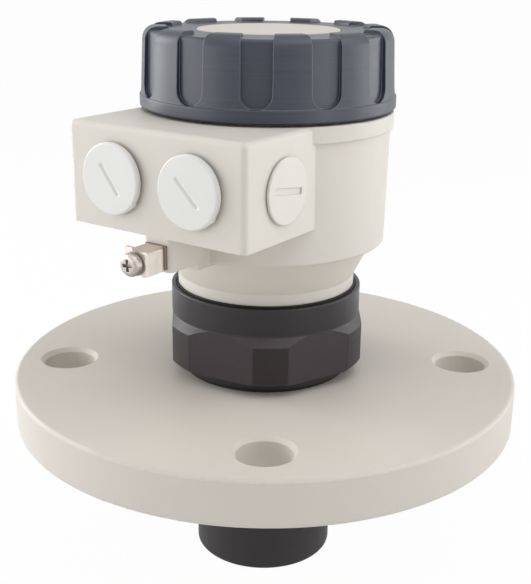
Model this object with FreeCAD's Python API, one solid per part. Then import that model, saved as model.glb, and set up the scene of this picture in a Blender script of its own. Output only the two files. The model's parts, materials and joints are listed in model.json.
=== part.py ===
import FreeCAD, Part
import math
import os

V = FreeCAD.Vector
UP = V(0, 0, 1)
FRONT = V(0, -1, 0)
RIGHT = V(1, 0, 0)
LEFT = V(-1, 0, 0)

# Ultrasonic level transmitter. Millimetres, +Z up, origin at the centre of the flange's sealing face.
# The cable-entry block looks along -Y.

# Process flange
flange_d = 190.5
flange_t = 17.5
flange_edge_r = 1.5
bolt_circle_d = 152.4
bolt_hole_d = 19.0
bolt_hole_count = 4
bolt_hole_chamfer = 1.5
flange_turn = 35.0

# Transducer body
sensor_d = 53.4
sensor_drop = 59.8
sensor_edge_r = 1.2
thread_d = 59.6
thread_h = 1.0
thread_len = 28.0
thread_chamfer = 1.5
foot_step = 2.2
foot_h = 3.5
hex_h = 17.5
hex_inset = 0.35
hex_over = 2.05
hex_cone_h = 3.0
hex_chamfer = 0.6
hex_turn = 38.0
collar_h = 10.6
collar_wall = 1.7
collar_edge_r = 0.4
recess_depth = 9.0
spigot_bore_d = 36.0
spigot_over = 5.0
spigot_edge_r = 0.6
cup_wall = 3.2
cup_face_t = 2.2
cup_depth = 42.0
gasket_t = 1.5
gasket_inset = 0.8

# Ultrasonic transducer in the cup
matching_t = 5.0
piezo_d = 40.0
piezo_t = 8.0
backing_t = 20.0
cup_clear = 0.1

# Swivel seals and retaining ring
o_ring_cord = 2.2
o_ring_pitch = 7.0
o_ring_first = 5.0
groove_side = 0.4
groove_floor_clear = 0.05
o_ring_gap = 0.2
swivel_ring_over = 2.2
swivel_ring_t = 1.8
swivel_ring_seat = 1.5
swivel_ring_split = 7.0
neck_seal_h = 3.4
neck_seal_proud = 0.7
neck_seal_wipe = 0.15
neck_seal_seat = 0.05
neck_seal_edge_r = 0.2

# Housing moulding
neck_clear = 0.85
neck_lift = 0.4
neck_h = 13.2
neck_wall = 7.0
neck_edge_r = 0.8
swivel_clear = 0.05
cone_h = 13.1
cone_flare = 6.55
bowl_ledge = 3.9
bowl_low_d = 87.0
bowl_draft = 0.6
bowl_h = 47.4
bowl_edge_r = 1.2
bowl_wall = 4.0
bowl_floor_r = 2.0
floor_t = 4.5
rim_step = 1.2
rim_h = 5.6
rim_flare_h = 0.4
rim_edge_r = 0.5
tube_inset = 3.5
tube_wall = 3.9
tube_h = 14.0
tube_edge_r = 0.6
shoulder_t = 5.0
shoulder_cone_h = 3.0

# Cable-entry block, one moulding with the housing
box_w = 72.8
box_reach = 19.9
box_h = 34.5
box_wall = 4.0
box_edge_r = 2.0
entry_pitch = 32.2
side_entry_back = 21.4
side_entry_drop = 0.8

# Blanking plugs
front_thread_d = 20.0
side_thread_d = 16.0
thread_clear = 0.15
plug_thread_h = 0.35
plug_shank = 8.0
plug_wall = 2.2
plug_web = 2.5
plug_edge_r = 0.4
front_head_d = 23.9
front_head_t = 2.2
front_gasket_t = 0.8
front_slot_l = 12.7
front_slot_w = 1.3
front_slot_deep = 0.5
front_left_turn = -53.0
front_right_turn = -44.0
gate_nub_d = 1.6
gate_nub_turn = -40.0
side_head_d = 21.8
side_head_t = 0.9
side_gasket_t = 0.4
side_slot_l = 15.0
side_slot_w = 2.2
side_slot_deep = 0.6
side_slot_turn = 81.6

# Earth boss and outside earth terminal
earth_x = 1.2
earth_down = 6.0
boss_w = 11.4
boss_drop = 11.1
boss_edge_r = 1.6
web_back = 14.2
web_drop = 2.5
insert_d = 6.4
insert_len = 9.0
insert_clear = 0.05
earth_plate_w = 8.4
earth_plate_h = 8.0
earth_plate_t = 1.0
earth_screw_d = 4.0
earth_thread_h = 0.2
earth_screw_grip = 6.0
earth_screw_point = 0.4
earth_screw_clear = 0.1
earth_hole_clear = 0.3
earth_head_d = 7.7
earth_head_h = 2.6
earth_head_edge_r = 1.7
cross_w = 1.1
cross_l = 4.0
cross_deep = 1.4
cross_turn = 4.0
clamp_w = 7.2
clamp_depth = 9.1
clamp_t = 1.1
clamp_up = 3.8
clamp_down = 4.4
clamp_plate_down = 2.9
clamp_bend_r = 1.6
clamp_edge_r = 0.8
clamp_tab = 1.0
clamp_lip_w = 3.0
clamp_lip_h = 0.9
washer_d = 8.3
washer_t = 0.6
lock_washer_d = 7.5
lock_washer_t = 1.1
lock_washer_split = 0.8

# Cover ring, disc and seals
cover_gap = 0.95
cover_clear = 0.3
cover_thread_h = 0.6
cover_gasket_t = 1.5
cover_gasket_inset = 0.3
disc_flange_t = 3.0
disc_wall = 2.5
disc_d = 50.8
disc_edge_r = 0.5
disc_proud = 0.2
disc_gasket_t = 1.0
disc_seat_clear = 0.2
ledge_w = 4.2
cover_space = 4.5
cover_top_t = 3.0
lip_wall = 4.8
lip_h = 4.55
lip_chamfer = 0.6
lip_edge_r = 0.4
flute_wall = 2.7
flute_draft = 0.8
flute_edge_r = 1.0
rib_step = 0.5
rib_draft = 1.15
rib_proud = 1.4
rib_edge_r = 4.5
rib_reach = 7.3
rib_inner_edge_r = 1.1
flute_count = 12
flute_w = 10.5
flute_end_r = 4.6

# Electronics insert
post_gap = 0.6
post_d = 6.8
post_count = 3
can_clear = 0.8
can_lift = 7.5
can_h = 16.4
can_edge_r = 0.6
screw_d = 3.0
screw_clear = 0.1
screw_hole_clear = 0.3
screw_grip = 5.0
screw_end_gap = 1.0
screw_head_d = 5.5
screw_head_h = 2.2
screw_head_edge_r = 0.6
screw_slot_w = 1.0
screw_slot_deep = 1.0
pole_count = 5
pole_pitch = 8.0
block_end = 1.0
block_d = 12.0
block_h = 10.0
block_back = 16.0
well_d = 5.0
well_deep = 4.0
well_clear = 0.2
clamp_screw_h = 2.4
wire_hole_d = 3.6
wire_hole_deep = 7.0
wire_hole_z = 3.0
header_w = 16.0
header_d = 5.0
header_h = 3.0
header_back = 12.0
pin_count = 5
pin_pitch = 2.54
pin_side = 0.8
pin_h = 6.0
lamp_d = 5.0
lamp_h = 5.0
lamp_dome_r = 2.0
lamp_x = 16.0
lamp_back = 14.0

# Heights that follow from the stack of pieces
seat_z = flange_t
foot_z = seat_z + gasket_t
thread_end_z = foot_z - thread_len
hex_z = foot_z + foot_h
collar_z = hex_z + hex_h
collar_top_z = collar_z + collar_h
recess_z = collar_top_z - recess_depth
neck_z = recess_z + neck_lift
cone_z = neck_z + neck_h
bowl_z = cone_z + cone_h
floor_z = bowl_z + floor_t
rim_top_z = bowl_z + bowl_h
rim_z = rim_top_z - rim_h
tube_top_z = rim_top_z + tube_h
spigot_top_z = floor_z + spigot_over
sensor_z = -sensor_drop
cup_floor_z = sensor_z + cup_face_t
cup_top_z = cup_floor_z + cup_depth
box_z = rim_top_z - box_h
entry_z = box_z + box_h / 2
side_entry_z = entry_z - side_entry_drop
boss_z = box_z - boss_drop
web_z = boss_z - web_drop
earth_z = box_z - earth_down
cover_z = rim_top_z + cover_gap
lip_z = cover_z + lip_h
disc_z = tube_top_z + cover_gasket_t
disc_step_z = disc_z + disc_flange_t
ledge_z = disc_step_z + disc_gasket_t + disc_seat_clear
ring_under_z = ledge_z + cover_space
ring_z = ring_under_z + cover_top_t
rib_z = ring_z + rib_proud
disc_top_z = ring_z + disc_proud
can_z = floor_z + can_lift
can_top_z = can_z + can_h
swivel_groove_z = floor_z + neck_lift

# Radii and places that follow from mating pieces
flange_bore_r = thread_d / 2 + thread_clear
shank_r = thread_d / 2 - thread_h
foot_r = thread_d / 2 + foot_step
bowl_low_r = bowl_low_d / 2
bowl_top_r = bowl_low_r + bowl_draft
bowl_in_r = bowl_low_r - bowl_wall
cone_top_r = bowl_low_r - bowl_ledge
neck_r = cone_top_r - cone_flare
collar_in_r = neck_r + neck_clear
collar_r = collar_in_r + collar_wall
swivel_bore_r = neck_r - neck_wall
spigot_r = swivel_bore_r - swivel_clear
swivel_groove_r = spigot_r - swivel_ring_seat
swivel_ring_r = spigot_r + swivel_ring_over
o_ring_groove_r = swivel_bore_r - o_ring_gap - o_ring_cord - groove_floor_clear
cup_r = sensor_d / 2 - cup_wall
fill_r = cup_r - cup_clear
rim_r = bowl_top_r + rim_step
tube_r = bowl_low_r - tube_inset
tube_in_r = tube_r - tube_wall
cover_bore_r = tube_r + cover_thread_h + cover_clear
disc_flange_r = cover_bore_r - cover_clear
ledge_r = cover_bore_r - ledge_w
lip_r = cover_bore_r + lip_wall
flute_low_r = cover_bore_r + flute_wall
flute_top_r = flute_low_r - flute_draft
rib_low_r = lip_r - rib_step
rib_top_r = rib_low_r - rib_draft
rib_in_r = flute_top_r - rib_reach
disc_r = disc_d / 2
can_r = min(tube_in_r, bowl_in_r) - can_clear
post_circle_r = swivel_ring_r + post_gap + post_d / 2
box_front = bowl_low_r + box_reach
clamp_y = -box_front - earth_plate_t
washer_y = clamp_y - clamp_depth
lock_washer_y = washer_y - washer_t
head_y = lock_washer_y - lock_washer_t
earth_hole_d = earth_screw_d + 2 * earth_hole_clear

# How far a cutter runs past the face it opens, and how close counts as touching when edges are picked
past = 1.0
touch = 0.01


def cylinder(d, length, base, axis=UP):
    return Part.makeCylinder(d / 2, length, base, axis)


def block(low, high):
    return Part.makeBox(high.x - low.x, high.y - low.y, high.z - low.z, low)


def outline(points):
    """Closed wire in the XZ plane. A point's third value is the radius that rounds its corner."""
    corners = []
    count = len(points)
    for i in range(count):
        here = V(points[i][0], 0, points[i][1])
        radius = points[i][2] if len(points[i]) > 2 else 0
        if radius == 0:
            corners.append((here, None, here))
            continue
        before = V(points[i - 1][0], 0, points[i - 1][1])
        after = V(points[(i + 1) % count][0], 0, points[(i + 1) % count][1])
        back = (before - here).normalize()
        on = (after - here).normalize()
        half = back.getAngle(on) / 2
        reach = radius / math.tan(half)
        inward = (back + on).normalize()
        middle = here + inward * (radius / math.sin(half) - radius)
        corners.append((here + back * reach, middle, here + on * reach))
    edges = []
    for i in range(count):
        start, middle, end = corners[i]
        following = corners[(i + 1) % count][0]
        if middle is not None:
            edges.append(Part.Arc(start, middle, end).toShape())
        if (following - end).Length > 1e-6:
            edges.append(Part.LineSegment(end, following).toShape())
    return Part.Wire(edges)


def turned(points):
    """Solid of revolution about Z from a half section of (radius, height) points."""
    return Part.Face(outline(points)).revolve(V(0, 0, 0), UP, 360)


def extruded(points, y, length):
    """Prism along +Y from y, with an XZ section."""
    face = Part.Face(outline(points))
    face.translate(V(0, y, 0))
    return face.extrude(V(0, length, 0))


def plan(points, z, height):
    """Prism along +Z from z, with an XY section."""
    face = Part.Face(outline(points))
    face.rotate(V(0, 0, 0), RIGHT, -90)
    face.translate(V(0, 0, z))
    return face.extrude(V(0, 0, height))


def ring(inner_r, outer_r, z, height):
    return turned([(inner_r, z), (outer_r, z), (outer_r, z + height), (inner_r, z + height)])


def around(shape, count, first=0.0):
    """Copies of a shape, spaced evenly about Z."""
    copies = []
    for i in range(count):
        copy = shape.copy()
        copy.rotate(V(0, 0, 0), UP, first + 360.0 * i / count)
        copies.append(copy)
    return copies


def aimed(shape, axis, place):
    """A shape built along +Z, laid along another axis and moved to its place."""
    copy = shape.copy()
    copy.Placement = FreeCAD.Placement(place, FreeCAD.Rotation(UP, axis)).multiply(copy.Placement)
    return copy


def flange():
    """Round plate. Its bolt holes are broken at the top edge only, so that the sealing face is plain."""
    rim = flange_d / 2
    plate = turned([
        (flange_bore_r, 0),
        (rim, 0, flange_edge_r),
        (rim, flange_t, flange_edge_r),
        (flange_bore_r, flange_t),
    ])
    hole_r = bolt_hole_d / 2
    hole = turned([
        (0, 0),
        (hole_r, 0),
        (hole_r, flange_t - bolt_hole_chamfer),
        (hole_r + bolt_hole_chamfer, flange_t),
        (0, flange_t),
    ])
    hole.translate(V(0, -bolt_circle_d / 2, 0))
    return plate.cut(around(hole, bolt_hole_count, flange_turn))


def hexagon():
    """Spanner hexagon whose flats lie just inside the collar and whose corners are turned off."""
    corner_r = (collar_r - hex_inset) / math.cos(math.radians(30))
    corners = []
    for i in range(7):
        angle = math.radians(60 * i + hex_turn - 90)
        corners.append(V(corner_r * math.cos(angle), corner_r * math.sin(angle), hex_z))
    prism = Part.Face(Part.makePolygon(corners)).extrude(V(0, 0, hex_h))
    turned_r = collar_r + hex_over
    inner_r = spigot_bore_d / 2 + past
    blank = turned([
        (inner_r, hex_z),
        (turned_r - hex_chamfer, hex_z),
        (turned_r, hex_z + hex_chamfer),
        (turned_r, collar_z - hex_cone_h),
        (collar_r, collar_z),
        (inner_r, collar_z),
    ])
    return prism.common(blank)


def o_ring_heights():
    first = neck_z + o_ring_first
    return [first, first + o_ring_pitch]


def transducer_housing():
    """Sensor cup, process shank, foot, hexagon, collar and hollow spigot in one turned piece."""
    sensor_r = sensor_d / 2
    bore_r = spigot_bore_d / 2
    body = turned([
        (0, sensor_z),
        (sensor_r, sensor_z, sensor_edge_r),
        (sensor_r, thread_end_z),
        (shank_r - thread_chamfer, thread_end_z),
        (shank_r, thread_end_z + thread_chamfer),
        (shank_r, foot_z),
        (foot_r, foot_z),
        (foot_r, hex_z),
        (spigot_r, hex_z),
        (spigot_r, collar_z),
        (collar_r, collar_z),
        (collar_r, collar_top_z, collar_edge_r),
        (collar_in_r, collar_top_z, collar_edge_r),
        (collar_in_r, recess_z),
        (spigot_r, recess_z),
        (spigot_r, spigot_top_z, spigot_edge_r),
        (bore_r, spigot_top_z),
        (bore_r, cup_top_z),
        (cup_r, cup_top_z),
        (cup_r, cup_floor_z),
        (0, cup_floor_z),
    ])
    body = body.fuse(hexagon())
    grooves = [ring(swivel_groove_r, spigot_r + past, swivel_groove_z, swivel_ring_t + 2 * groove_side)]
    for z in o_ring_heights():
        low = z - o_ring_cord / 2 - groove_side
        grooves.append(ring(o_ring_groove_r, spigot_r + past, low, o_ring_cord + 2 * groove_side))
    return body.cut(grooves).removeSplitter()


def swivel_o_rings():
    centre_r = o_ring_groove_r + groove_floor_clear + o_ring_cord / 2
    return Part.Compound([Part.makeTorus(centre_r, o_ring_cord / 2, V(0, 0, z)) for z in o_ring_heights()])


def swivel_ring():
    inner_r = swivel_groove_r + groove_floor_clear
    z = swivel_groove_z + groove_side
    body = ring(inner_r, swivel_ring_r, z, swivel_ring_t)
    half = swivel_ring_split / 2
    low = V(-half, inner_r - past, z - past)
    high = V(half, swivel_ring_r + past, z + swivel_ring_t + past)
    return body.cut(block(low, high))


def neck_seal():
    """Wiper in the gap between the collar and the turning neck, a little proud of the collar."""
    inner_r = neck_r + neck_seal_wipe
    outer_r = collar_in_r - neck_seal_seat
    top = collar_top_z + neck_seal_proud
    return turned([
        (inner_r, top - neck_seal_h),
        (outer_r, top - neck_seal_h),
        (outer_r, top, neck_seal_edge_r),
        (inner_r, top, neck_seal_edge_r),
    ])


def flange_gasket():
    return ring(flange_bore_r, foot_r - gasket_inset, seat_z, gasket_t)


def matching_layer():
    return cylinder(2 * fill_r, matching_t, V(0, 0, cup_floor_z))


def piezo_disc():
    return cylinder(piezo_d, piezo_t, V(0, 0, cup_floor_z + matching_t))


def backing():
    """Potting that surrounds the piezo disc and fills the cup above it."""
    base = V(0, 0, cup_floor_z + matching_t)
    body = cylinder(2 * fill_r, piezo_t + backing_t, base)
    return body.cut(cylinder(piezo_d + 2 * cup_clear, piezo_t, base))


def housing_shell():
    """Neck, cone, bowl, rim and cover tube as one turned form, before it is hollowed."""
    return turned([
        (0, neck_z),
        (neck_r, neck_z, neck_edge_r),
        (neck_r, cone_z),
        (cone_top_r, bowl_z),
        (bowl_low_r, bowl_z, bowl_edge_r),
        (bowl_top_r, rim_z - rim_flare_h),
        (rim_r, rim_z, rim_edge_r),
        (rim_r, rim_top_z, rim_edge_r),
        (tube_r, rim_top_z),
        (tube_r, tube_top_z, tube_edge_r),
        (0, tube_top_z),
    ])


def entry_block():
    """Square cable-entry block with rounded front and top edges."""
    half = box_w / 2
    body = block(V(-half, -box_front, box_z), V(half, 0, rim_top_z))
    edges = []
    for edge in body.Edges:
        centre = edge.CenterOfMass
        upright_front = abs(centre.y + box_front) < touch and abs(abs(centre.x) - half) < touch
        top = abs(centre.z - rim_top_z) < touch and centre.y < -touch
        if upright_front or top:
            edges.append(edge)
    return body.makeFillet(box_edge_r, edges)


def earth_boss():
    """Boss under the entry block, with rounded front edges, and a deeper web behind it."""
    left = earth_x - boss_w / 2
    right = earth_x + boss_w / 2
    boss = plan([
        (left, -box_front, boss_edge_r),
        (right, -box_front, boss_edge_r),
        (right, -neck_r),
        (left, -neck_r),
    ], boss_z, box_z + box_wall / 2 - boss_z)
    web = block(V(left, web_back - box_front, web_z), V(right, -neck_r, box_z))
    return boss.fuse(web)


def housing_cavity():
    bowl = turned([
        (0, floor_z),
        (bowl_in_r, floor_z, bowl_floor_r),
        (bowl_in_r, rim_top_z - shoulder_t),
        (tube_in_r, rim_top_z - shoulder_t + shoulder_cone_h),
        (tube_in_r, tube_top_z),
        (0, tube_top_z),
    ])
    half = box_w / 2 - box_wall
    chamber = block(
        V(-half, -box_front + box_wall, box_z + box_wall),
        V(half, -tube_in_r / 2, rim_top_z - box_wall),
    )
    neck = cylinder(2 * swivel_bore_r, floor_z - neck_z, V(0, 0, neck_z))
    return [bowl, chamber, neck]


def entries():
    """Mouth of each cable entry, the way it faces and its thread's diameter."""
    side = box_w / 2
    side_y = side_entry_back - box_front
    return {
        "front_left": (V(-entry_pitch / 2, -box_front, entry_z), FRONT, front_thread_d),
        "front_right": (V(entry_pitch / 2, -box_front, entry_z), FRONT, front_thread_d),
        "side_right": (V(side, side_y, side_entry_z), RIGHT, side_thread_d),
        "side_left": (V(-side, side_y, side_entry_z), LEFT, side_thread_d),
    }


def post_places():
    places = []
    for i in range(post_count):
        angle = math.radians(90 + 360.0 * i / post_count)
        places.append(V(post_circle_r * math.cos(angle), post_circle_r * math.sin(angle), 0))
    return places


def earth_mouth():
    return V(earth_x, -box_front, earth_z)


def housing():
    body = housing_shell().fuse([entry_block(), earth_boss()])
    tools = housing_cavity()
    for mouth, axis, bore_d in entries().values():
        tools.append(cylinder(bore_d + 2 * thread_clear, box_wall, mouth - axis * box_wall, axis))
    tools.append(cylinder(insert_d + 2 * insert_clear, insert_len, earth_mouth(), -FRONT))
    body = body.cut(tools)
    posts = []
    holes = []
    for place in post_places():
        posts.append(cylinder(post_d, can_lift, place + V(0, 0, floor_z)))
        holes.append(cylinder(screw_d + 2 * screw_clear, screw_grip, place + V(0, 0, can_z - screw_grip)))
    return body.fuse(posts).cut(holes).removeSplitter()


def cover_gasket():
    return ring(tube_in_r + cover_gasket_inset, tube_r - cover_gasket_inset, tube_top_z, cover_gasket_t)


def cover_disc():
    """Top hat that rests on the housing's rim and shows through the cover ring."""
    inner_r = disc_r - disc_wall
    return turned([
        (inner_r, disc_z),
        (disc_flange_r, disc_z),
        (disc_flange_r, disc_step_z),
        (disc_r, disc_step_z),
        (disc_r, disc_top_z, disc_edge_r),
        (0, disc_top_z),
        (0, disc_top_z - disc_wall),
        (inner_r, disc_top_z - disc_wall),
    ])


def disc_gasket():
    return ring(ledge_r, disc_flange_r, disc_step_z, disc_gasket_t)


def flute():
    """Cutter for one flute of the cover, open at the top and rounded at its lower end."""
    half = flute_w / 2
    top = rib_z + past
    reach = lip_r + past
    return extruded([
        (-half, top),
        (-half, lip_z, flute_end_r),
        (half, lip_z, flute_end_r),
        (half, top),
    ], -reach, reach - rib_in_r + 2 * rib_proud)


def cover_ring():
    """Fluted ring: a plain core with a lip, and ribs that wrap over its top edge."""
    hole_r = disc_r + cover_clear
    core = turned([
        (cover_bore_r, cover_z),
        (lip_r - lip_chamfer, cover_z),
        (lip_r, cover_z + lip_chamfer),
        (lip_r, lip_z, lip_edge_r),
        (flute_low_r, lip_z),
        (flute_top_r, ring_z, flute_edge_r),
        (hole_r, ring_z),
        (hole_r, ring_under_z),
        (ledge_r, ring_under_z),
        (ledge_r, ledge_z),
        (cover_bore_r, ledge_z),
    ])
    under_r = (flute_top_r + cover_bore_r) / 2
    under_z = ring_z - cover_top_t / 2
    shell = turned([
        (rib_in_r, under_z),
        (rib_in_r, rib_z, rib_inner_edge_r),
        (rib_top_r, rib_z, rib_edge_r),
        (rib_low_r, lip_z - lip_chamfer),
        (under_r, lip_z - lip_chamfer),
        (under_r, under_z),
    ])
    ribs = shell.cut(around(flute(), flute_count))
    return core.fuse(ribs).removeSplitter()


def plug(thread, head_d, head_t, seal_t):
    """Blanking plug along +Z, with z = 0 at the entry's face."""
    top = seal_t + head_t
    outer_r = thread / 2 - plug_thread_h
    inner_r = outer_r - plug_wall
    return turned([
        (inner_r, -plug_shank),
        (outer_r - plug_edge_r, -plug_shank),
        (outer_r, -plug_shank + plug_edge_r),
        (outer_r, seal_t),
        (head_d / 2, seal_t),
        (head_d / 2, top, plug_edge_r),
        (0, top),
        (0, -plug_web),
        (inner_r, -plug_web),
    ])


def slot(length, width, floor, turn):
    """Cutter for a screwdriver slot, upward from its floor."""
    cutter = block(V(-length / 2, -width / 2, floor), V(length / 2, width / 2, floor + 2 * past))
    cutter.rotate(V(0, 0, 0), UP, turn)
    return cutter


def front_plug(turn):
    body = plug(front_thread_d, front_head_d, front_head_t, front_gasket_t)
    low = V(front_head_d / 2, 0, front_gasket_t + plug_edge_r)
    nub = cylinder(gate_nub_d, front_head_t - 2 * plug_edge_r, low)
    nub.rotate(V(0, 0, 0), UP, gate_nub_turn)
    floor = front_gasket_t + front_head_t - front_slot_deep
    return body.fuse(nub).cut(slot(front_slot_l, front_slot_w, floor, turn))


def side_plug():
    body = plug(side_thread_d, side_head_d, side_head_t, side_gasket_t)
    floor = side_gasket_t + side_head_t - side_slot_deep
    return body.cut(slot(side_slot_l, side_slot_w, floor, side_slot_turn))


def plug_gasket(thread, head_d, seal_t):
    return ring(thread / 2 + thread_clear, head_d / 2 - gasket_inset, 0, seal_t)


def earth_insert():
    body = cylinder(insert_d, insert_len, earth_mouth(), -FRONT)
    return body.cut(cylinder(earth_screw_d + 2 * earth_screw_clear, insert_len, earth_mouth(), -FRONT))


def earth_plate():
    low = V(earth_x - earth_plate_w / 2, clamp_y, earth_z - earth_plate_h / 2)
    high = V(earth_x + earth_plate_w / 2, -box_front, earth_z + earth_plate_h / 2)
    return block(low, high).cut(cylinder(earth_hole_d, earth_plate_t, earth_mouth(), FRONT))


def earth_clamp():
    """Bent saddle: front plate, roof and a longer right wall, with a tab and a turned-up lip on the left."""
    left = earth_x - clamp_w / 2
    right = earth_x + clamp_w / 2
    tab = left - clamp_tab
    top = earth_z + clamp_up
    low = earth_z - clamp_down
    inner_y = washer_y + clamp_t
    walls = plan([
        (tab, washer_y),
        (right, washer_y, clamp_bend_r),
        (right, clamp_y),
        (right - clamp_t, clamp_y),
        (right - clamp_t, inner_y),
        (tab, inner_y),
    ], low, top - low)
    roof = plan([
        (left, washer_y),
        (right, washer_y, clamp_bend_r),
        (right, clamp_y),
        (left, clamp_y),
    ], top - clamp_t, clamp_t)
    under = block(V(tab, washer_y, low), V(right - clamp_bend_r, inner_y, earth_z - clamp_plate_down))
    body = walls.cut(under).fuse(roof).removeSplitter()
    bends = []
    for edge in body.Edges:
        centre = edge.CenterOfMass
        outside = centre.y < washer_y + touch or centre.x > right - touch
        corner = centre.y < washer_y + clamp_bend_r and centre.x > right - clamp_bend_r
        if abs(centre.z - top) < touch and (outside or corner):
            bends.append(edge)
    body = body.makeFillet(clamp_edge_r, bends)
    lip = block(V(tab, washer_y, top - clamp_t), V(tab + clamp_lip_w, inner_y, top + clamp_lip_h))
    hole = cylinder(earth_hole_d, clamp_t, V(earth_x, washer_y, earth_z), -FRONT)
    return body.fuse(lip).cut(hole).removeSplitter()


def earth_washer():
    body = ring(earth_hole_d / 2, washer_d / 2, 0, washer_t)
    return aimed(body, FRONT, V(earth_x, washer_y, earth_z))


def earth_lock_washer():
    body = ring(earth_hole_d / 2, lock_washer_d / 2, 0, lock_washer_t)
    half = lock_washer_split / 2
    split = block(V(0, -half, -past), V(lock_washer_d, half, lock_washer_t + past))
    return aimed(body.cut(split), FRONT, V(earth_x, lock_washer_y, earth_z))


def earth_screw():
    """Pan-head screw with a cross recess, along +Z with z = 0 under its head."""
    length = lock_washer_t + washer_t + clamp_depth + earth_plate_t + earth_screw_grip
    screw_r = earth_screw_d / 2 - earth_thread_h
    head_r = earth_head_d / 2
    body = turned([
        (0, -length),
        (screw_r - earth_screw_point, -length),
        (screw_r, -length + earth_screw_point),
        (screw_r, 0),
        (head_r, 0),
        (head_r, earth_head_h, earth_head_edge_r),
        (0, earth_head_h),
    ])
    floor = earth_head_h - cross_deep
    recess = [slot(cross_l, cross_w, floor, cross_turn), slot(cross_l, cross_w, floor, cross_turn + 90)]
    return aimed(body.cut(recess), FRONT, V(earth_x, head_y, earth_z))


def electronics_can():
    body = turned([
        (0, can_z),
        (can_r, can_z, can_edge_r),
        (can_r, can_top_z, can_edge_r),
        (0, can_top_z),
    ])
    holes = [cylinder(screw_d + 2 * screw_hole_clear, can_h, p + V(0, 0, can_z)) for p in post_places()]
    return body.cut(holes)


def module_screws():
    """Slotted screws that hold the can on its posts."""
    length = can_h + screw_grip - screw_end_gap
    head_r = screw_head_d / 2
    body = turned([
        (0, -length),
        (screw_d / 2, -length),
        (screw_d / 2, 0),
        (head_r, 0),
        (head_r, screw_head_h, screw_head_edge_r),
        (0, screw_head_h),
    ])
    screw = body.cut(slot(2 * screw_head_d, screw_slot_w, screw_head_h - screw_slot_deep, 0))
    return Part.Compound([aimed(screw, UP, p + V(0, 0, can_top_z)) for p in post_places()])


def pole_places():
    first = -(pole_count - 1) / 2 * pole_pitch
    return [V(first + i * pole_pitch, -block_back, 0) for i in range(pole_count)]


def terminal_block():
    half = pole_count * pole_pitch / 2 + block_end
    top = can_top_z + block_h
    front = -block_back - block_d / 2
    body = block(V(-half, front, can_top_z), V(half, front + block_d, top))
    tools = []
    for place in pole_places():
        tools.append(cylinder(well_d, well_deep, place + V(0, 0, top - well_deep)))
        tools.append(cylinder(wire_hole_d, wire_hole_deep, V(place.x, front, can_top_z + wire_hole_z), -FRONT))
    return body.cut(tools)


def terminal_screws():
    floor = can_top_z + block_h - well_deep
    head_d = well_d - 2 * well_clear
    body = cylinder(head_d, clamp_screw_h, V(0, 0, 0))
    screw = body.cut(slot(2 * head_d, screw_slot_w, clamp_screw_h - screw_slot_deep, 0))
    return Part.Compound([aimed(screw, UP, p + V(0, 0, floor)) for p in pole_places()])


def display_header():
    """Pin header that a plug-in display takes."""
    half = header_w / 2
    top = can_top_z + header_h
    middle = header_back + header_d / 2
    base = block(V(-half, header_back, can_top_z), V(half, header_back + header_d, top))
    pins = []
    for i in range(pin_count):
        x = (i - (pin_count - 1) / 2) * pin_pitch
        low = V(x - pin_side / 2, middle - pin_side / 2, top)
        pins.append(block(low, low + V(pin_side, pin_side, pin_h)))
    return base.fuse(pins)


def status_lamp():
    lamp = turned([(0, 0), (lamp_d / 2, 0), (lamp_d / 2, lamp_h, lamp_dome_r), (0, lamp_h)])
    return aimed(lamp, UP, V(lamp_x, lamp_back, can_top_z))


def pieces():
    made = {
        "flange": flange(),
        "transducer_housing": transducer_housing(),
        "flange_gasket": flange_gasket(),
        "matching_layer": matching_layer(),
        "piezo_disc": piezo_disc(),
        "backing": backing(),
        "swivel_o_rings": swivel_o_rings(),
        "swivel_ring": swivel_ring(),
        "neck_seal": neck_seal(),
        "housing": housing(),
        "cover_gasket": cover_gasket(),
        "cover_ring": cover_ring(),
        "cover_disc": cover_disc(),
        "disc_gasket": disc_gasket(),
        "earth_insert": earth_insert(),
        "earth_plate": earth_plate(),
        "earth_clamp": earth_clamp(),
        "earth_washer": earth_washer(),
        "earth_lock_washer": earth_lock_washer(),
        "earth_screw": earth_screw(),
        "electronics_can": electronics_can(),
        "module_screws": module_screws(),
        "terminal_block": terminal_block(),
        "terminal_screws": terminal_screws(),
        "display_header": display_header(),
        "status_lamp": status_lamp(),
    }
    front_seal = plug_gasket(front_thread_d, front_head_d, front_gasket_t)
    side_seal = plug_gasket(side_thread_d, side_head_d, side_gasket_t)
    plugs = {
        "front_left": (front_plug(front_left_turn), front_seal),
        "front_right": (front_plug(front_right_turn), front_seal),
        "side_right": (side_plug(), side_seal),
        "side_left": (side_plug(), side_seal),
    }
    for name, (mouth, axis, thread) in entries().items():
        body, seal = plugs[name]
        made["plug_" + name] = aimed(body, axis, mouth)
        made["gasket_" + name] = aimed(seal, axis, mouth)
    return made


os.makedirs("parts", exist_ok=True)
for name, shape in pieces().items():
    shape.exportStep("parts/" + name + ".step")
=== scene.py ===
import json
import math

import bmesh
import bpy
from mathutils import Matrix, Vector


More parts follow.
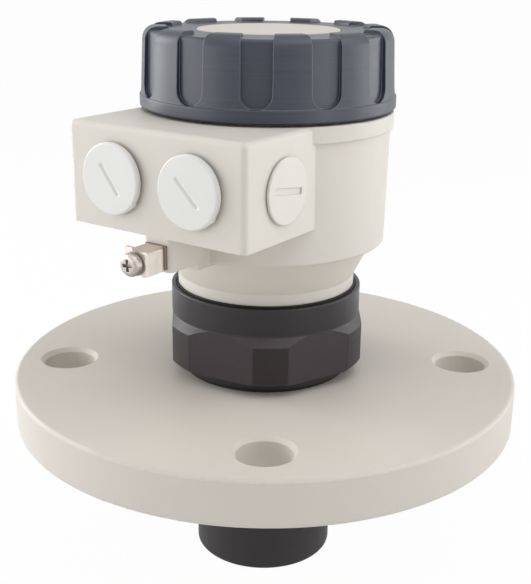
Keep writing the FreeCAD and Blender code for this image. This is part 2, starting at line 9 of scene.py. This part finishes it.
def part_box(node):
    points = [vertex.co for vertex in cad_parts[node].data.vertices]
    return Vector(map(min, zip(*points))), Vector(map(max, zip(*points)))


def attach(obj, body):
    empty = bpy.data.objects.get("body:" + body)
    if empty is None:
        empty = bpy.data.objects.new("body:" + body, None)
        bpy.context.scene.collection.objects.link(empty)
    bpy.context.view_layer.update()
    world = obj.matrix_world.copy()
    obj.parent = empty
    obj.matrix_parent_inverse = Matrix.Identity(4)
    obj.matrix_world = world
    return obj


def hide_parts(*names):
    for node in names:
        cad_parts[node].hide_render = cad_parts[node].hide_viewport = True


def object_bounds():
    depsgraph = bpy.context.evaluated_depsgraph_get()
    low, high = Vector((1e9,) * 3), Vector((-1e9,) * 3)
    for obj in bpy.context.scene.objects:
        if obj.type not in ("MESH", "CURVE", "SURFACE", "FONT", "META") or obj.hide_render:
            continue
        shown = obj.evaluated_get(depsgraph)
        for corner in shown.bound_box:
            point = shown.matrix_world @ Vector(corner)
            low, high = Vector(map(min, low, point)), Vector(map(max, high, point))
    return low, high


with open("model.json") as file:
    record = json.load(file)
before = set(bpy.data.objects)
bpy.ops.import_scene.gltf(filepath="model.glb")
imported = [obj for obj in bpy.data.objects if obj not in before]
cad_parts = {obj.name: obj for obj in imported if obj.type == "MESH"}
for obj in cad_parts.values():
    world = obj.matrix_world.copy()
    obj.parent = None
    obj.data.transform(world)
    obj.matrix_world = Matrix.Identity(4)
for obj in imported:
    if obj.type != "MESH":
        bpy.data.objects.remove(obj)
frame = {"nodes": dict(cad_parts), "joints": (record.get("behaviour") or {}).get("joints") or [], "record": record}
cad_low, cad_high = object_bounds()
nodes = frame["nodes"]
joints = {joint["name"]: joint for joint in frame["joints"]}
scene = bpy.context.scene
MM = 0.001


# Colours

def linear(red, green, blue):
    """A colour written as 0-255 sRGB, as linear light with alpha."""
    out = []
    for level in (red, green, blue):
        share = level / 255.0
        out.append(share / 12.92 if share <= 0.04045 else ((share + 0.055) / 1.055) ** 2.4)
    return (*out, 1.0)


def scaled(colour, factor):
    return tuple(min(1.0, part * factor) for part in colour[:3]) + (1.0,)


# Shader nodes. Lengths are in metres, and a noise's scale is in waves per metre.

NOISE_LOW = 0.3
NOISE_HIGH = 0.7
NOISE_ROUGH = 0.55
EDGE_SAMPLES = 6
# Samples and lean limits of the mask that paints highlights along sharp edges.
HIGHLIGHT_SAMPLES = 8
HIGHLIGHT_STARTS = 0.99
HIGHLIGHT_FULL = 0.85


def new_material(name):
    material = bpy.data.materials.new(name)
    material.use_nodes = True
    tree = material.node_tree
    tree.nodes.clear()
    out = tree.nodes.new("ShaderNodeOutputMaterial")
    shader = tree.nodes.new("ShaderNodeBsdfPrincipled")
    tree.links.new(shader.outputs["BSDF"], out.inputs["Surface"])
    return material, tree, shader


def coordinates(tree):
    return tree.nodes.new("ShaderNodeTexCoord").outputs["Object"]


def separated(tree, vector):
    split = tree.nodes.new("ShaderNodeSeparateXYZ")
    tree.links.new(vector, split.inputs["Vector"])
    return split.outputs


def turned_coordinates(tree, vector):
    """Radius and height about the part's axis, so a noise of them makes lathe lines."""
    place = separated(tree, vector)
    flat = tree.nodes.new("ShaderNodeCombineXYZ")
    tree.links.new(place["X"], flat.inputs["X"])
    tree.links.new(place["Y"], flat.inputs["Y"])
    length = tree.nodes.new("ShaderNodeVectorMath")
    length.operation = "LENGTH"
    tree.links.new(flat.outputs["Vector"], length.inputs[0])
    joined = tree.nodes.new("ShaderNodeCombineXYZ")
    tree.links.new(length.outputs["Value"], joined.inputs["X"])
    tree.links.new(place["Z"], joined.inputs["Z"])
    return joined.outputs["Vector"]


def noise(tree, vector, scale, detail=3.0):
    node = tree.nodes.new("ShaderNodeTexNoise")
    node.inputs["Scale"].default_value = scale
    node.inputs["Detail"].default_value = detail
    node.inputs["Roughness"].default_value = NOISE_ROUGH
    tree.links.new(vector, node.inputs["Vector"])
    return node.outputs["Fac"]


def mapped(tree, value, from_low, from_high, to_low=0.0, to_high=1.0):
    """A value's range mapped to another one, and held at its ends."""
    node = tree.nodes.new("ShaderNodeMapRange")
    node.inputs["From Min"].default_value = from_low
    node.inputs["From Max"].default_value = from_high
    node.inputs["To Min"].default_value = to_low
    node.inputs["To Max"].default_value = to_high
    tree.links.new(value, node.inputs["Value"])
    return node.outputs["Result"]


def spread(tree, fac, low, high):
    """A noise mapped to a range of numbers."""
    return mapped(tree, fac, NOISE_LOW, NOISE_HIGH, low, high)


def tint(tree, fac, colour, amount):
    """A colour that drifts darker and lighter with a noise."""
    ramp = tree.nodes.new("ShaderNodeValToRGB")
    dark, light = ramp.color_ramp.elements
    dark.position = NOISE_LOW
    dark.color = scaled(colour, 1.0 - amount)
    light.position = NOISE_HIGH
    light.color = scaled(colour, 1.0 + amount)
    tree.links.new(fac, ramp.inputs["Fac"])
    return ramp.outputs["Color"]


def stepped(tree, value, low, high, places):
    """Grey levels that change at places along a range of a value, as (place, level) pairs."""
    ramp = tree.nodes.new("ShaderNodeValToRGB")
    ramp.color_ramp.interpolation = "CONSTANT"
    while len(ramp.color_ramp.elements) < len(places):
        ramp.color_ramp.elements.new(1.0)
    for element, (place, level) in zip(ramp.color_ramp.elements, places):
        element.position = (place - low) / (high - low)
        element.color = (level, level, level, 1.0)
    tree.links.new(mapped(tree, value, low, high), ramp.inputs["Fac"])
    return ramp.outputs["Color"]


def combined(tree, operation, first, second):
    node = tree.nodes.new("ShaderNodeMath")
    node.operation = operation
    tree.links.new(first, node.inputs[0])
    tree.links.new(second, node.inputs[1])
    return node.outputs["Value"]


def blended(tree, fac, first, second):
    """Two colours mixed by a mask."""
    mix = tree.nodes.new("ShaderNodeMix")
    mix.data_type = "RGBA"
    tree.links.new(fac, mix.inputs["Factor"])
    tree.links.new(first, mix.inputs["A"])
    tree.links.new(second, mix.inputs["B"])
    return mix.outputs["Result"]


def rounded_normal(tree, radius, samples):
    """Normals as if each sharp edge had this radius."""
    bevel = tree.nodes.new("ShaderNodeBevel")
    bevel.samples = samples
    bevel.inputs["Radius"].default_value = radius
    return bevel.outputs["Normal"]


def bumped(tree, heights, edge):
    """Normals from a rounded edge and a chain of (height, strength, distance) bumps."""
    normal = rounded_normal(tree, edge, EDGE_SAMPLES)
    for height, strength, distance in heights:
        bump = tree.nodes.new("ShaderNodeBump")
        bump.inputs["Strength"].default_value = strength
        bump.inputs["Distance"].default_value = distance
        tree.links.new(height, bump.inputs["Height"])
        tree.links.new(normal, bump.inputs["Normal"])
        normal = bump.outputs["Normal"]
    return normal


def painted_edge_highlight(tree, radius):
    """Mask for a painted highlight: 1 along a sharp edge and 0 away from it, by how far a rounded normal leans
    from the face's own.
    """
    face = tree.nodes.new("ShaderNodeNewGeometry")
    lean = tree.nodes.new("ShaderNodeVectorMath")
    lean.operation = "DOT_PRODUCT"
    tree.links.new(rounded_normal(tree, radius, HIGHLIGHT_SAMPLES), lean.inputs[0])
    tree.links.new(face.outputs["Normal"], lean.inputs[1])
    return mapped(tree, lean.outputs["Value"], HIGHLIGHT_STARTS, HIGHLIGHT_FULL)


def dress(tree, shader, tone, gloss, normal):
    tree.links.new(tone, shader.inputs["Base Color"])
    tree.links.new(gloss, shader.inputs["Roughness"])
    tree.links.new(normal, shader.inputs["Normal"])


# Materials. The heights and radii are those of the black body.

HEIGHT_RANGE = (-0.1, 0.1)
FOOT_LOW = 0.019
HEX_LOW = 0.0226
HEX_TOP = 0.0401
COLLAR_LOW = 0.0403
HEX_RADIUS_RANGE = (0.03, 0.04)
HEX_CORNER_R = 0.0375
SENSOR_ROUGH = 0.62
HEX_ROUGH = 0.46
COLLAR_ROUGH = 0.38


def moulded(name, colour, rough, grain=1800.0, grain_depth=0.00003, drift=0.02, specular=0.4):
    """Injection-moulded plastic: a fine spark-eroded grain, a slight drift of tone and of gloss."""
    material, tree, shader = new_material(name)
    place = coordinates(tree)
    slow = noise(tree, place, scale=22.0)
    fine = noise(tree, place, scale=grain, detail=2.0)
    wave = noise(tree, place, scale=60.0, detail=2.0)
    tone = tint(tree, slow, colour, drift)
    gloss = spread(tree, fine, rough - 0.05, rough + 0.06)
    normal = bumped(tree, [(fine, 0.35, grain_depth), (wave, 0.15, 0.0001)], edge=0.0003)
    dress(tree, shader, tone, gloss, normal)
    shader.inputs["Specular IOR Level"].default_value = specular
    return material


def lathe(name, colour, rough):
    """Turned plastic: fine lines about the axis over a satin surface."""
    material, tree, shader = new_material(name)
    place = coordinates(tree)
    lines = noise(tree, turned_coordinates(tree, place), scale=1400.0)
    slow = noise(tree, place, scale=18.0)
    fine = noise(tree, place, scale=2200.0, detail=2.0)
    tone = tint(tree, slow, colour, 0.02)
    gloss = spread(tree, lines, rough - 0.06, rough + 0.08)
    normal = bumped(tree, [(lines, 0.3, 0.00003), (fine, 0.15, 0.00002)], edge=0.0003)
    dress(tree, shader, tone, gloss, normal)
    shader.inputs["Specular IOR Level"].default_value = 0.4
    return material


def fluted(name, colour, highlight_colour, rough):
    """The cover's plastic: fine lines of tone and gloss about the axis, and a painted highlight that lightens its
    sharp edges.
    """
    material, tree, shader = new_material(name)
    place = coordinates(tree)
    lines = noise(tree, turned_coordinates(tree, place), scale=1500.0)
    slow = noise(tree, place, scale=22.0)
    fine = noise(tree, place, scale=2200.0, detail=2.0)
    base = tint(tree, lines, colour, 0.18)
    # Painted highlight: sharp edges are mixed towards a lighter tone.
    highlight_tone = tint(tree, slow, highlight_colour, 0.1)
    tone = blended(tree, painted_edge_highlight(tree, radius=0.0004), base, highlight_tone)
    gloss = spread(tree, lines, rough - 0.04, rough + 0.05)
    normal = bumped(tree, [(lines, 0.25, 0.000008), (fine, 0.2, 0.000004)], edge=0.0005)
    dress(tree, shader, tone, gloss, normal)
    shader.inputs["Specular IOR Level"].default_value = 0.62
    return material


def machined(name, colour, milled_and_sheen, highlight_colour):
    """Black turned plastic: matt sensor, smoother collar, flats cut by milling between turned corners, painted
    lighter than the corners as a painted sheen, and a painted highlight along sharp edges.
    """
    material, tree, shader = new_material(name)
    place = coordinates(tree)
    about = turned_coordinates(tree, place)
    polar = separated(tree, about)
    slow = noise(tree, place, scale=18.0)
    lines = noise(tree, about, scale=2600.0)
    fine = noise(tree, place, scale=1600.0, detail=2.0)
    within = ((HEX_RADIUS_RANGE[0], 1.0), (HEX_CORNER_R, 0.0))
    between = ((HEIGHT_RANGE[0], 0.0), (HEX_LOW, 1.0), (HEX_TOP, 0.0))
    finishes = ((HEIGHT_RANGE[0], SENSOR_ROUGH), (FOOT_LOW, HEX_ROUGH), (COLLAR_LOW, COLLAR_ROUGH))
    inside = stepped(tree, polar["X"], *HEX_RADIUS_RANGE, within)
    beside = stepped(tree, polar["Z"], *HEIGHT_RANGE, between)
    # Painted sheen: the flats get a lighter tone than the turned corners; their fine milling texture is their own.
    flats = combined(tree, "MULTIPLY", inside, beside)
    body = blended(tree, flats, tint(tree, lines, colour, 0.25), tint(tree, fine, milled_and_sheen, 0.2))
    # Painted highlight: sharp edges are mixed towards a lighter tone.
    tone = blended(tree, painted_edge_highlight(tree, radius=0.0003), body, tint(tree, slow, highlight_colour, 0.1))
    finish = stepped(tree, polar["Z"], *HEIGHT_RANGE, finishes)
    gloss = combined(tree, "ADD", finish, spread(tree, lines, -0.05, 0.05))
    normal = bumped(tree, [(lines, 0.25, 0.000008), (fine, 0.25, 0.00001)], edge=0.0003)
    dress(tree, shader, tone, gloss, normal)
    shader.inputs["Specular IOR Level"].default_value = 0.5
    return material


def plated(name, colour, rough, drift=0.06):
    """Plated metal: fine brushing, a little staining."""
    material, tree, shader = new_material(name)
    place = coordinates(tree)
    squash = tree.nodes.new("ShaderNodeMapping")
    squash.inputs["Scale"].default_value = (1.0, 0.08, 1.0)
    tree.links.new(place, squash.inputs["Vector"])
    brush = noise(tree, squash.outputs["Vector"], scale=3000.0)
    stain = noise(tree, place, scale=240.0, detail=4.0)
    tone = tint(tree, stain, colour, drift)
    gloss = spread(tree, brush, rough - 0.08, rough + 0.1)
    normal = bumped(tree, [(brush, 0.25, 0.00002)], edge=0.00015)
    dress(tree, shader, tone, gloss, normal)
    shader.inputs["Metallic"].default_value = 1.0
    return material


def rubber(name, colour, rough):
    """Seal rubber: matt, with a dusty drift of tone."""
    material, tree, shader = new_material(name)
    place = coordinates(tree)
    fine = noise(tree, place, scale=1500.0)
    slow = noise(tree, place, scale=90.0)
    tone = tint(tree, slow, colour, 0.12)
    gloss = spread(tree, fine, rough - 0.08, rough + 0.08)
    normal = bumped(tree, [(fine, 0.3, 0.00004)], edge=0.0002)
    dress(tree, shader, tone, gloss, normal)
    shader.inputs["Specular IOR Level"].default_value = 0.3
    return material


SMOOTH_GRAIN = {"grain": 2400.0, "grain_depth": 0.00001}
DISC_GRAIN = {"grain": 2600.0, "grain_depth": 0.00001, "specular": 0.3}
BLACK = linear(23, 16, 20)
# Tone of the flats cut by milling: their fine texture is their own, their lighter tone is a painted sheen.
BLACK_MILLED_AND_SHEEN = linear(44, 38, 42)
# Lighter tone painted along the black body's sharp edges as a highlight.
BLACK_EDGE_HIGHLIGHT = linear(78, 72, 76)
SLATE = linear(45, 50, 65)
# Lighter tone painted along the cover's sharp edges as a highlight.
SLATE_EDGE_HIGHLIGHT = linear(112, 116, 128)
MATERIALS = {
    "beige_flange": lathe("flange_polypropylene", linear(212, 206, 198), 0.5),
    "beige_housing": moulded("housing_plastic", linear(218, 213, 205), 0.48),
    "beige_disc": moulded("disc_plastic", linear(206, 201, 194), 0.46, **DISC_GRAIN),
    "slate_cover": fluted("cover_plastic", SLATE, SLATE_EDGE_HIGHLIGHT, 0.4),
    "black_plastic": machined("transducer_plastic", BLACK, BLACK_MILLED_AND_SHEEN, BLACK_EDGE_HIGHLIGHT),
    "white_plug": moulded("plug_white", linear(227, 227, 225), 0.4, **SMOOTH_GRAIN),
    "offwhite_plug": moulded("plug_offwhite", linear(222, 219, 212), 0.42, **SMOOTH_GRAIN),
    "module_plastic": moulded("module_black", linear(34, 34, 36), 0.5, drift=0.08),
    "terminal_plastic": moulded("terminal_green", linear(52, 104, 66), 0.45, drift=0.04),
    "transducer_inner": moulded("matching_composite", linear(150, 142, 120), 0.6, drift=0.05),
    "potting": moulded("potting_resin", linear(40, 40, 42), 0.3, grain=500.0, drift=0.08),
    "lamp": moulded("lamp_green", linear(60, 160, 70), 0.15, drift=0.03),
    "piezo": moulded("piezo_ceramic", linear(168, 158, 142), 0.55, drift=0.06),
    "seal_rubber": rubber("seal_rubber", linear(24, 24, 25), 0.6),
    "spring_steel": plated("steel_plated", linear(176, 176, 178), 0.3),
    "plated_metal": plated("nickel_plated", linear(214, 206, 196), 0.45),
    "dark_plate": plated("dull_plate", linear(136, 122, 112), 0.42),
    "brass_insert": plated("brass_turned", linear(196, 164, 98), 0.3),
}
SCREW_FINISH = plated("screw_nickel", linear(184, 174, 169), 0.42, drift=0.08)

for part in frame["record"]["subparts"]:
    surfaces = nodes[part["node"]].data.materials
    surfaces.clear()
    surfaces.append(MATERIALS[part["material_slot"]])
for node in ("earth_screw", "earth_washer"):
    nodes[node].data.materials[0] = SCREW_FINISH


# Added pieces. Their sizes are in millimetres, and their places come from the joints.

UPWARD = (0, 0, 1)
SHARP = math.radians(40)


def laid(axis):
    """Turn that lays +Z along an axis."""
    return Vector(UPWARD).rotation_difference(Vector(axis)).to_matrix()


def joint_place(joint):
    """A joint's point in millimetres, and its axis."""
    return Vector(joints[joint]["pos_m"]) / MM, joints[joint]["axis"]


def add_piece(name, mesh, body, slot, node=None):
    """A mesh that rides on a body. One that stands for a CAD node is shaded smooth up to its sharp edges."""
    bmesh.ops.recalc_face_normals(mesh, faces=mesh.faces)
    data = bpy.data.meshes.new(name)
    mesh.to_mesh(data)
    mesh.free()
    data.materials.append(MATERIALS[slot])
    piece = bpy.data.objects.new(name, data)
    scene.collection.objects.link(piece)
    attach(piece, body)
    if node:
        data.polygons.foreach_set("use_smooth", [True] * len(data.polygons))
        data.set_sharp_from_angle(angle=SHARP)
        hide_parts(node)


def sweep(mesh, rows):
    """Faces between closed rows of points, with both ends capped."""
    for first, second in zip(rows, rows[1:]):
        for k in range(len(first)):
            after = (k + 1) % len(first)
            mesh.faces.new((first[k], second[k], second[after], first[after]))
    mesh.faces.new(rows[0])
    mesh.faces.new(reversed(rows[-1]))


# Threads

THREAD_STEPS = 64
ROOT_SUNK = 0.15
ENDS_SUNK = 0.05
ROOT_SHARE = 0.46
CREST_SHARE = 0.12


def thread(name, base, axis, body, slot, core, crest, pitch, start, end):
    """Right-hand ridge with its root inside a shank, that runs out in half a turn at each end."""
    count = int((end - start) / pitch * THREAD_STEPS)
    lay = laid(axis)
    root = core - ROOT_SUNK
    mesh = bmesh.new()
    rows = []
    for i in range(count + 1):
        angle = 2 * math.pi * i / THREAD_STEPS
        z = start + pitch * i / THREAD_STEPS
        full = min(1.0, 2.0 * i / THREAD_STEPS, 2.0 * (count - i) / THREAD_STEPS)
        top = core - ENDS_SUNK + (crest - core + ENDS_SUNK) * full
        row = []
        for r, rise in ((root, -ROOT_SHARE), (top, -CREST_SHARE), (top, CREST_SHARE), (root, ROOT_SHARE)):
            point = Vector((r * math.cos(angle), r * math.sin(angle), z + rise * pitch))
            row.append(mesh.verts.new((Vector(base) + lay @ point) * MM))
        rows.append(row)
    sweep(mesh, rows)
    add_piece(name, mesh, body, slot)


RIM_Z = 115.7
FRONT_SHANK = 9.65
SIDE_SHANK = 7.65
PLUG_THREAD_H = 0.32
ENTRIES = {
    "front_left": (FRONT_SHANK, "white_plug"),
    "front_right": (FRONT_SHANK, "white_plug"),
    "side_right": (SIDE_SHANK, "offwhite_plug"),
    "side_left": (SIDE_SHANK, "offwhite_plug"),
}
earth_place, earth_axis = joint_place("earth_screw_turn")

thread("process_thread", (0, 0, 0), UPWARD, "process", "black_plastic",
       core=28.8, crest=29.75, pitch=2.309, start=-6.6, end=4.0)
thread("cover_thread", (0, 0, RIM_Z), UPWARD, "housing", "beige_housing",
       core=40.0, crest=40.55, pitch=4.0, start=3.0, end=12.0)
for entry, (shank, finish) in ENTRIES.items():
    mouth, out = joint_place("plug_turn_" + entry)
    thread("thread_" + entry, mouth, out, "plug_" + entry, finish,
           core=shank, crest=shank + PLUG_THREAD_H, pitch=1.5, start=-7.0, end=-0.9)
thread("earth_thread", earth_place, earth_axis, "earth_screw", "plated_metal",
       core=1.8, crest=1.97, pitch=0.7, start=-17.2, end=-0.6)


# Front plugs, with the moulding's soft edge, its gate mark and a round-bottomed slot

HEAD_R = 11.95
HEAD_EDGE_R = 0.75
HEAD_UNDER_R = 0.3
HEAD_LOW = 0.8
HEAD_TOP = 3.0
SHANK_END = -8.0
SHANK_CHAMFER = 0.4
SHANK_WALL = 2.2
HOLLOW_TOP = -2.5
FACE_RINGS = 60
EDGE_RINGS = 8
PLUG_STEPS = 192
SLOT_LENGTH = 13.2
SLOT_HALF = 1.15
SLOT_DEEP = 0.6
NUB_TURN = math.radians(-40)
NUB_PROUD = 0.5
NUB_HALF = 0.8


def slot_depth(x, y, turn):
    """Depth of the screwdriver slot at a point of the plug's face."""
    along = abs(x * math.cos(turn) + y * math.sin(turn))
    beside = y * math.cos(turn) - x * math.sin(turn)
    away = math.hypot(max(along - SLOT_LENGTH / 2 + SLOT_HALF, 0.0), beside) / SLOT_HALF
    return SLOT_DEEP * 0.5 * (1.0 + math.cos(math.pi * away)) if away < 1.0 else 0.0


def nub_growth(r, angle):
    """How much the gate mark stretches the head's radius at an angle."""
    swing = (angle - NUB_TURN + math.pi) % (2 * math.pi) - math.pi
    return 1.0 + NUB_PROUD / r * math.exp(-(swing * r / NUB_HALF) ** 2)


def plug_rings(shank):
    """(radius, height) rings from the middle of the plug's face round to the middle of its hollow."""
    face_r = HEAD_R - HEAD_EDGE_R
    hollow_r = shank - SHANK_WALL
    rings = [(face_r * i / FACE_RINGS, HEAD_TOP) for i in range(1, FACE_RINGS + 1)]
    for i in range(1, EDGE_RINGS + 1):
        angle = math.pi / 2 * i / EDGE_RINGS
        height = HEAD_TOP - HEAD_EDGE_R + HEAD_EDGE_R * math.cos(angle)
        rings.append((face_r + HEAD_EDGE_R * math.sin(angle), height))
    rings.append((HEAD_R, HEAD_LOW + HEAD_UNDER_R))
    rings.append((HEAD_R - HEAD_UNDER_R / 3, HEAD_LOW + HEAD_UNDER_R / 3))
    rings.append((HEAD_R - HEAD_UNDER_R, HEAD_LOW))
    rings.append((shank, HEAD_LOW))
    rings.append((shank, SHANK_END + SHANK_CHAMFER))
    rings.append((shank - SHANK_CHAMFER, SHANK_END))
    rings.append((hollow_r, SHANK_END))
    rings.append((hollow_r, HOLLOW_TOP))
    return rings


def plug_point(r, z, angle, turn):
    """A point of a ring, sunk by the slot or pushed out by the gate mark."""
    x, y = r * math.cos(angle), r * math.sin(angle)
    if z == HEAD_TOP:
        return Vector((x, y, z - slot_depth(x, y, turn)))
    if r > HEAD_R - HEAD_EDGE_R and HEAD_LOW < z < HEAD_TOP - HEAD_EDGE_R / 2:
        grow = nub_growth(r, angle)
        return Vector((x * grow, y * grow, z))
    return Vector((x, y, z))


def front_plug(entry, turn):
    shank, finish = ENTRIES[entry]
    mouth, out = joint_place("plug_turn_" + entry)
    lay = laid(out)
    mesh = bmesh.new()

    def vertex(point):
        return mesh.verts.new((mouth + lay @ point) * MM)

    angles = [2 * math.pi * k / PLUG_STEPS for k in range(PLUG_STEPS)]
    rows = [[vertex(plug_point(r, z, angle, turn)) for angle in angles] for r, z in plug_rings(shank)]
    middle = vertex(plug_point(0.0, HEAD_TOP, 0.0, turn))
    hollow = vertex(Vector((0, 0, HOLLOW_TOP)))
    for k in range(PLUG_STEPS):
        after = (k + 1) % PLUG_STEPS
        mesh.faces.new((middle, rows[0][k], rows[0][after]))
        mesh.faces.new((hollow, rows[-1][after], rows[-1][k]))
        for inner, outer in zip(rows, rows[1:]):
            mesh.faces.new((inner[k], outer[k], outer[after], inner[after]))
    add_piece("plug_body_" + entry, mesh, "plug_" + entry, finish, "plug_" + entry)


front_plug("front_left", turn=math.radians(-53))
front_plug("front_right", turn=math.radians(-44))


# Earth terminal's spring washer, one turn of square wire with its ends sprung apart

WIRE_IN = 2.3
WIRE_OUT = 3.35
WIRE_H = 0.8
WIRE_EDGE = 0.12
WIRE_STEPS = 120
WIRE_START = math.radians(205)
WIRE_SWEEP = math.radians(345)


def wire_section(low):
    """(radius, height) points of the wire's section, with its corners cut."""
    high = low + WIRE_H
    near, far = WIRE_IN + WIRE_EDGE, WIRE_OUT - WIRE_EDGE
    return [
        (near, low), (far, low), (WIRE_OUT, low + WIRE_EDGE), (WIRE_OUT, high - WIRE_EDGE),
        (far, high), (near, high), (WIRE_IN, high - WIRE_EDGE), (WIRE_IN, low + WIRE_EDGE),
    ]


def spring_washer():
    front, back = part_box("earth_lock_washer")
    seat_y = back[1] / MM
    climb = (back[1] - front[1]) / MM - WIRE_H
    mesh = bmesh.new()
    rows = []
    for i in range(WIRE_STEPS + 1):
        share = i / WIRE_STEPS
        angle = WIRE_START + WIRE_SWEEP * share
        row = []
        for r, rise in wire_section(climb * share):
            x = earth_place.x + r * math.cos(angle)
            z = earth_place.z + r * math.sin(angle)
            row.append(mesh.verts.new(Vector((x, seat_y - rise, z)) * MM))
        rows.append(row)
    sweep(mesh, rows)
    add_piece("spring_washer", mesh, "earth_clamp", "plated_metal", "earth_lock_washer")


spring_washer()


# Floor and backdrop

FLOOR_REACH = 6.0
FLOOR_GAP = 0.0002
FLOOR_COLOUR = (0.85, 0.85, 0.84, 1.0)
GLOW_COLOUR = (1.0, 1.0, 1.0, 1.0)
SHADOW_SHARE = 0.03
AMBIENT_COLOUR = (1.0, 0.995, 0.985, 1.0)
BACKDROP_COLOUR = (1.0, 1.0, 0.99, 1.0)
HORIZON = 0.03
ZENITH = 0.35
ZENITH_FROM = 0.6


def backdrop_rays(tree):
    """1 for a camera, glossy or transmission ray, and 0 for the rays that light the object."""
    path = tree.nodes.new("ShaderNodeLightPath")
    seen = combined(tree, "MAXIMUM", path.outputs["Is Camera Ray"], path.outputs["Is Glossy Ray"])
    return combined(tree, "MAXIMUM", seen, path.outputs["Is Transmission Ray"])


def white_floor(name):
    """Pale diffuse surface that those rays see mostly as white, with a share of its shadow."""
    material = bpy.data.materials.new(name)
    material.use_nodes = True
    tree = material.node_tree
    tree.nodes.clear()
    out = tree.nodes.new("ShaderNodeOutputMaterial")
    diffuse = tree.nodes.new("ShaderNodeBsdfDiffuse")
    diffuse.inputs["Color"].default_value = FLOOR_COLOUR
    glow = tree.nodes.new("ShaderNodeEmission")
    glow.inputs["Color"].default_value = GLOW_COLOUR
    amount = tree.nodes.new("ShaderNodeMath")
    amount.operation = "MULTIPLY"
    amount.inputs[1].default_value = 1.0 - SHADOW_SHARE
    tree.links.new(backdrop_rays(tree), amount.inputs[0])
    mix = tree.nodes.new("ShaderNodeMixShader")
    tree.links.new(amount.outputs["Value"], mix.inputs["Fac"])
    tree.links.new(diffuse.outputs["BSDF"], mix.inputs[1])
    tree.links.new(glow.outputs["Emission"], mix.inputs[2])
    tree.links.new(mix.outputs["Shader"], out.inputs["Surface"])
    return material


def add_floor():
    z = cad_low[2] - FLOOR_GAP
    corners = [(x * FLOOR_REACH, y * FLOOR_REACH, z) for x, y in ((-1, -1), (1, -1), (1, 1), (-1, 1))]
    data = bpy.data.meshes.new("floor")
    data.from_pydata(corners, [], [(0, 1, 2, 3)])
    data.materials.append(white_floor("floor_white"))
    floor = bpy.data.objects.new("floor", data)
    scene.collection.objects.link(floor)


def add_world():
    """Soft light that grows from the horizon upwards, behind a backdrop that is seen as white."""
    world = bpy.data.worlds.new("studio")
    scene.world = world
    world.use_nodes = True
    tree = world.node_tree
    tree.nodes.clear()
    out = tree.nodes.new("ShaderNodeOutputWorld")
    ambient = tree.nodes.new("ShaderNodeBackground")
    ambient.inputs["Color"].default_value = AMBIENT_COLOUR
    sky = tree.nodes.new("ShaderNodeTexCoord")
    heading = separated(tree, sky.outputs["Generated"])
    fade = mapped(tree, heading["Z"], 0.0, ZENITH_FROM, HORIZON, ZENITH)
    tree.links.new(fade, ambient.inputs["Strength"])
    shown = tree.nodes.new("ShaderNodeBackground")
    shown.inputs["Color"].default_value = BACKDROP_COLOUR
    shown.inputs["Strength"].default_value = 1.0
    pick = tree.nodes.new("ShaderNodeMixShader")
    tree.links.new(backdrop_rays(tree), pick.inputs["Fac"])
    tree.links.new(ambient.outputs["Background"], pick.inputs[1])
    tree.links.new(shown.outputs["Background"], pick.inputs[2])
    tree.links.new(pick.outputs["Shader"], out.inputs["Surface"])


add_floor()
add_world()


# Camera, fitted to the photo's circles

CAMERA_TURN = math.radians(34.86)
CAMERA_OUT = 0.37159
CAMERA_UP = 0.17114
PITCH = math.radians(18.735)
YAW = math.radians(-0.095)
ROLL = math.radians(0.618)
FOCAL_PX = 1027.36
SHIFT_X_PX = 1.4
SHIFT_Y_PX = 0.5
IMAGE_H = 584
SENSOR_W = 36.0
CLIP_START = 0.01


def camera_frame():
    """The camera's place, and its ahead, right and up directions."""
    turn = Matrix.Rotation(CAMERA_TURN, 3, "Z")
    eye = turn @ Vector((0, -CAMERA_OUT, CAMERA_UP))
    level = math.cos(PITCH)
    ahead = Vector((math.sin(YAW) * level, math.cos(YAW) * level, -math.sin(PITCH)))
    right = Vector((math.cos(YAW), -math.sin(YAW), 0))
    up = right.cross(ahead)
    across = right * math.cos(ROLL) + up * math.sin(ROLL)
    upward = up * math.cos(ROLL) - right * math.sin(ROLL)
    return eye, turn @ ahead, turn @ across, turn @ upward


def add_camera():
    eye, ahead, across, upward = camera_frame()
    lens = bpy.data.cameras.new("camera")
    camera = bpy.data.objects.new("camera", lens)
    scene.collection.objects.link(camera)
    basis = Matrix((across, upward, -ahead)).transposed().to_4x4()
    basis.translation = eye
    camera.matrix_world = basis
    lens.sensor_width = SENSOR_W
    lens.lens = FOCAL_PX * SENSOR_W / IMAGE_H
    lens.shift_x = SHIFT_X_PX / IMAGE_H
    lens.shift_y = SHIFT_Y_PX / IMAGE_H
    lens.clip_start = CLIP_START
    scene.camera = camera


add_camera()


# Lamps. The low ones give the dark cover its sheen, and the high ones light the tops.

AIM = Vector((0, 0, 0.05))


def softbox(name, turn, height, distance, width, tall, power):
    """Area lamp at an angle in degrees from the camera's side, aimed at the object."""
    light = bpy.data.lights.new(name, "AREA")
    light.shape = "RECTANGLE"
    light.size = width
    light.size_y = tall
    light.energy = power
    lamp = bpy.data.objects.new(name, light)
    scene.collection.objects.link(lamp)
    angle = CAMERA_TURN + math.radians(turn)
    lamp.location = Vector((math.sin(angle) * distance, -math.cos(angle) * distance, height))
    lamp.rotation_euler = (AIM - lamp.location).to_track_quat("-Z", "Y").to_euler()


softbox("left_box", turn=-95, height=0.55, distance=0.9, width=0.92, tall=0.6, power=2.3)
softbox("left_rim", turn=-113, height=0.22, distance=0.9, width=0.38, tall=0.6, power=3.3)
softbox("left_low", turn=-70, height=0.14, distance=0.9, width=0.8, tall=0.38, power=2.4)
softbox("right_low", turn=49, height=0.14, distance=0.9, width=0.34, tall=0.38, power=1.1)
softbox("right_box", turn=103, height=0.14, distance=0.9, width=0.7, tall=0.38, power=2.3)
softbox("right_high", turn=72, height=0.75, distance=0.65, width=0.8, tall=0.8, power=2.9)
softbox("front_fill", turn=-10, height=0.8, distance=0.85, width=0.8, tall=0.6, power=0.8)
softbox("top_box", turn=0, height=1.1, distance=0.25, width=1.0, tall=1.0, power=2.7)

scene.view_settings.view_transform = "Standard"
